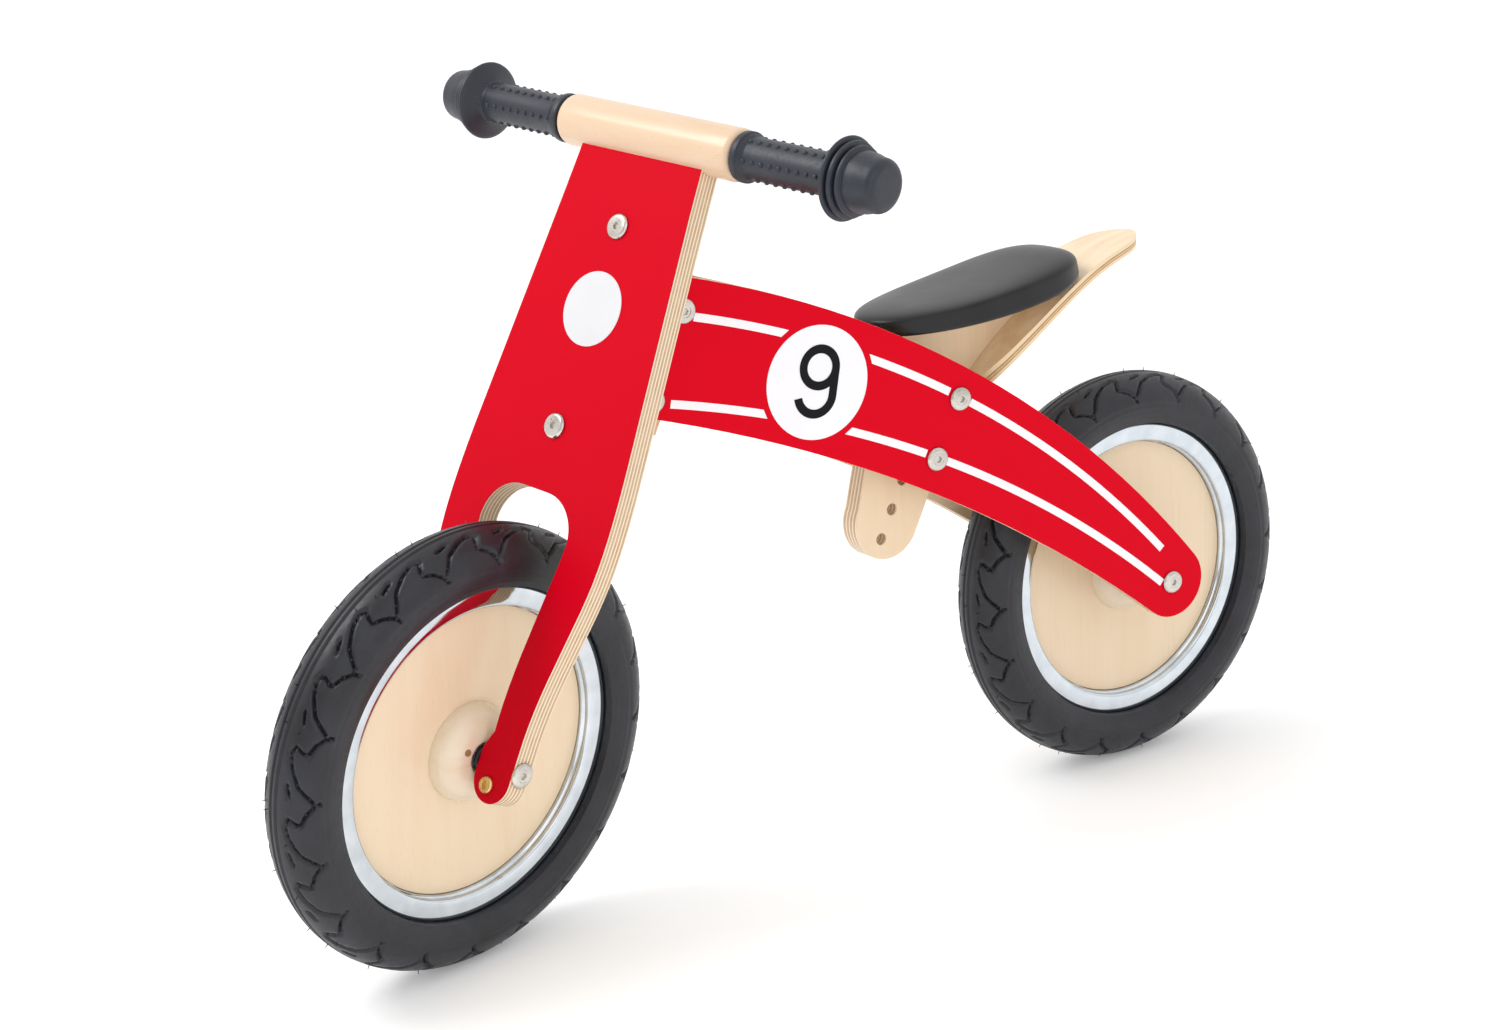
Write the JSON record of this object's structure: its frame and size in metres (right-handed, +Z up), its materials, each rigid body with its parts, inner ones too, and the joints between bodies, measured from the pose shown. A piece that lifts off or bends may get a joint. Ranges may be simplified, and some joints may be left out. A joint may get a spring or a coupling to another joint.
{
  "type": "balance bike",
  "caption": "Child's wooden balance bike: arched side panels, padded seat on a bolted post, steering fork board with a handlebar, and air-tyred disc wheels.",
  "frame": {"origin": "on the ground, midway between the wheel centres of the straight-steered bike, on the middle plane of the frame", "axes": "+X forward to the front wheel, +Y to the rider's left, +Z up"},
  "size_m": [0.8554, 0.3744, 0.5565],
  "materials": {
    "tyre_rubber": "matt black rubber with a fine tread",
    "tube_rubber": "smooth black",
    "rim_chrome": "bright chromed steel",
    "birch_ply": "clear lacquered birch plywood",
    "turned_beech": "glossy lacquered beech",
    "bent_ply": "clear lacquered bent plywood",
    "bright_steel": "plain zinc plated",
    "black_plastic": "satin black",
    "red_board": "satin red film on birch plywood",
    "bolt_nickel": "nickel plated",
    "bolt_brass": "yellow zinc plated",
    "grip_rubber": "soft matt rubber with small nubs",
    "seat_leather": "smooth black artificial leather"
  },
  "bodies": {
    "frame": {"side_panel_left": "red_board", "side_panel_right": "red_board", "head_block": "turned_beech", "steering_bushes": "black_plastic", "head_bolts": "bolt_nickel", "seat_post": "birch_ply", "seat_nuts": "bright_steel", "seat_bolts": "bolt_nickel", "post_spacers": "turned_beech", "tail_board": "bent_ply", "seat_board": "birch_ply", "seat_cushion": "seat_leather", "rear_axle": "bright_steel", "rear_axle_bolts": "bolt_nickel", "rear_axle_spacers": "black_plastic"},
    "fork": {"fork_board": "red_board", "pivot_block_bolts": "bolt_nickel", "foot_cross_bolts": "bolt_brass", "upper_pivot_block": "turned_beech", "lower_pivot_block": "turned_beech", "steering_bolt": "bright_steel", "steering_nut": "bright_steel", "pivot_washers": "black_plastic", "handlebar": "turned_beech", "grip_left": "grip_rubber", "grip_right": "grip_rubber", "front_axle": "bright_steel", "front_axle_bolts": "bolt_nickel", "front_axle_spacers": "black_plastic"},
    "front_wheel": {"front_tyre": "tyre_rubber", "front_inner_tube": "tube_rubber", "front_rim": "rim_chrome", "front_disc": "birch_ply", "front_hub_left": "turned_beech", "front_hub_right": "turned_beech", "front_bearings": "bright_steel", "front_hub_sleeve": "bright_steel", "front_valve": "black_plastic"},
    "rear_wheel": {"rear_tyre": "tyre_rubber", "rear_inner_tube": "tube_rubber", "rear_rim": "rim_chrome", "rear_disc": "birch_ply", "rear_hub_left": "turned_beech", "rear_hub_right": "turned_beech", "rear_bearings": "bright_steel", "rear_hub_sleeve": "bright_steel", "rear_valve": "black_plastic"}
  },
  "joints": [
    {"name": "steering", "type": "hinge", "parent": "frame", "child": "fork", "pos_m": [0.25239, 0, 0.13443], "axis": [-0.4201, 0, 0.9075], "range_deg": [-53.9, 26.1]},
    {"name": "front_wheel_spin", "type": "hinge", "parent": "fork", "child": "front_wheel", "pos_m": [0.28084, 0.00777, 0.1476], "axis": [-0.2183, 0.9706, -0.1011], "continuous": true},
    {"name": "rear_wheel_spin", "type": "hinge", "parent": "frame", "child": "rear_wheel", "pos_m": [-0.2817, 0, 0.148], "axis": [0, 1, 0], "continuous": true}
  ]
}
